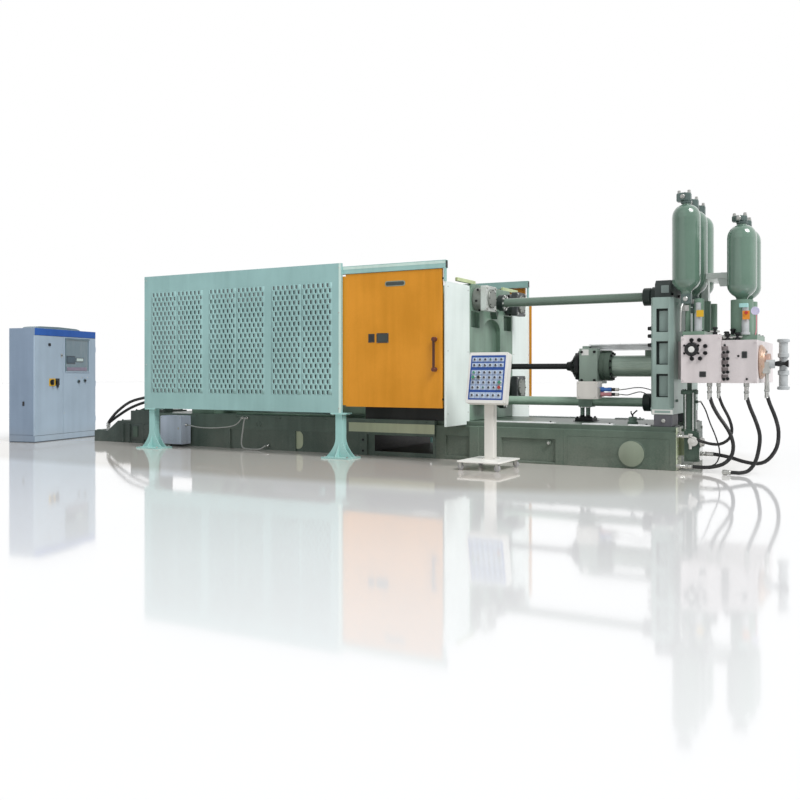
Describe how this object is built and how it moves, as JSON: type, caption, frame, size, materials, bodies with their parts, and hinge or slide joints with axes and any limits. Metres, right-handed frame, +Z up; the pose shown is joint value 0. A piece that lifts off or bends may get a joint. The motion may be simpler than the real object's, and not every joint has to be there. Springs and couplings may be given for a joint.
{
  "type": "die casting machine",
  "caption": "Horizontal cold-chamber die casting machine with toggle closing unit, perforated guards, sliding doors, injection unit, accumulators, valve blocks, cabinet and console.",
  "frame": {"origin": "on the floor, on the machine centre line, below the die face of the fixed platen", "axes": "+X along the machine towards the injection end, +Y away from the operator side, +Z up"},
  "size_m": [11.9501, 3.535, 3.246],
  "materials": {
    "bed_green": "satin",
    "base_green": "satin",
    "dark_green": "satin",
    "platen_green": "satin",
    "bar_chrome": "polished",
    "nut_steel": "machined",
    "link_green": "satin",
    "guard_mint": "satin",
    "splash_white": "satin",
    "door_amber": "satin",
    "handle_brown": "satin",
    "sleeve_steel": "machined",
    "black_steel": "satin",
    "head_green": "satin",
    "rail_silver": "satin",
    "box_white": "satin",
    "plate_green": "satin",
    "foot_grey": "rough",
    "block_grey": "ground",
    "bottle_green": "gloss",
    "head_steel": "machined",
    "bracket_green": "satin",
    "valve_brass": "satin",
    "terminal_grey": "satin",
    "cabinet_grey": "satin",
    "fitting_steel": "plated",
    "hose_black": "matt",
    "cable_grey": "matt",
    "cable_pale": "matt"
  },
  "bodies": {
    "root": {"clamp_bed": "bed_green", "injection_base": "base_green", "pump_end": "dark_green", "tail_platen": "platen_green", "moving_platen": "platen_green", "fixed_platen": "platen_green", "tie_bars": "bar_chrome", "tie_bar_nuts": "nut_steel", "toggle_links": "link_green", "crosshead": "link_green", "closing_cylinder": "base_green", "front_guard": "guard_mint", "back_guard": "guard_mint", "guard_legs": "guard_mint", "door_rails": "guard_mint", "splash_panels": "splash_white", "shot_sleeve": "sleeve_steel", "head_block": "head_green", "injection_cylinder": "base_green", "sensor_rail": "rail_silver", "switch_box": "box_white", "rod_support": "dark_green", "upper_frame_rod": "head_green", "lower_frame_rod": "head_green", "injection_plate": "plate_green", "plate_foot": "foot_grey", "main_block": "block_grey", "valve_block": "block_grey", "accumulator_bottles": "bottle_green", "bottle_heads": "head_steel", "piston_accumulators": "bottle_green", "bottle_bracket": "bracket_green", "end_cylinder": "dark_green", "lower_manifold": "dark_green", "end_valve": "valve_brass", "terminal_box": "terminal_grey", "console_box": "box_white", "console_stand": "box_white", "cabinet_body": "cabinet_grey", "hose_fittings": "fitting_steel", "hose_main": "hose_black", "hose_return": "hose_black", "hose_middle": "hose_black", "hose_right": "hose_black", "pilot_line": "hose_black", "tank_hose_front": "hose_black", "tank_hose_back": "hose_black", "sensor_cable_high": "cable_grey", "sensor_cable_low": "cable_grey", "guard_cable_left": "cable_pale", "guard_cable_right": "cable_pale"},
    "front_door": {"front_door": "door_amber", "front_door_handle": "handle_brown"},
    "back_door": {"back_door": "door_amber", "back_door_handle": "handle_brown"},
    "plunger": {"plunger_rod": "black_steel", "plunger_coupling": "black_steel"},
    "cabinet_left_door": {"cabinet_left_door": "cabinet_grey"},
    "cabinet_right_door": {"cabinet_right_door": "cabinet_grey"}
  },
  "joints": [
    {"name": "front_door_slide", "type": "slide", "parent": "root", "child": "front_door", "axis": [-1, 0, 0], "range_m": [0, 1.3]},
    {"name": "back_door_slide", "type": "slide", "parent": "root", "child": "back_door", "axis": [-1, 0, 0], "range_m": [0, 1.3]},
    {"name": "plunger_slide", "type": "slide", "parent": "root", "child": "plunger", "axis": [-1, 0, 0], "range_m": [0, 0.74]},
    {"name": "cabinet_left_hinge", "type": "hinge", "parent": "root", "child": "cabinet_left_door", "pos_m": [-6.86082, -1.60609, 1], "axis": [0, 0, -1], "range_deg": [0, 100]},
    {"name": "cabinet_right_hinge", "type": "hinge", "parent": "root", "child": "cabinet_right_door", "pos_m": [-7.18498, -0.06787, 1], "axis": [0, 0, 1], "range_deg": [0, 100]}
  ]
}
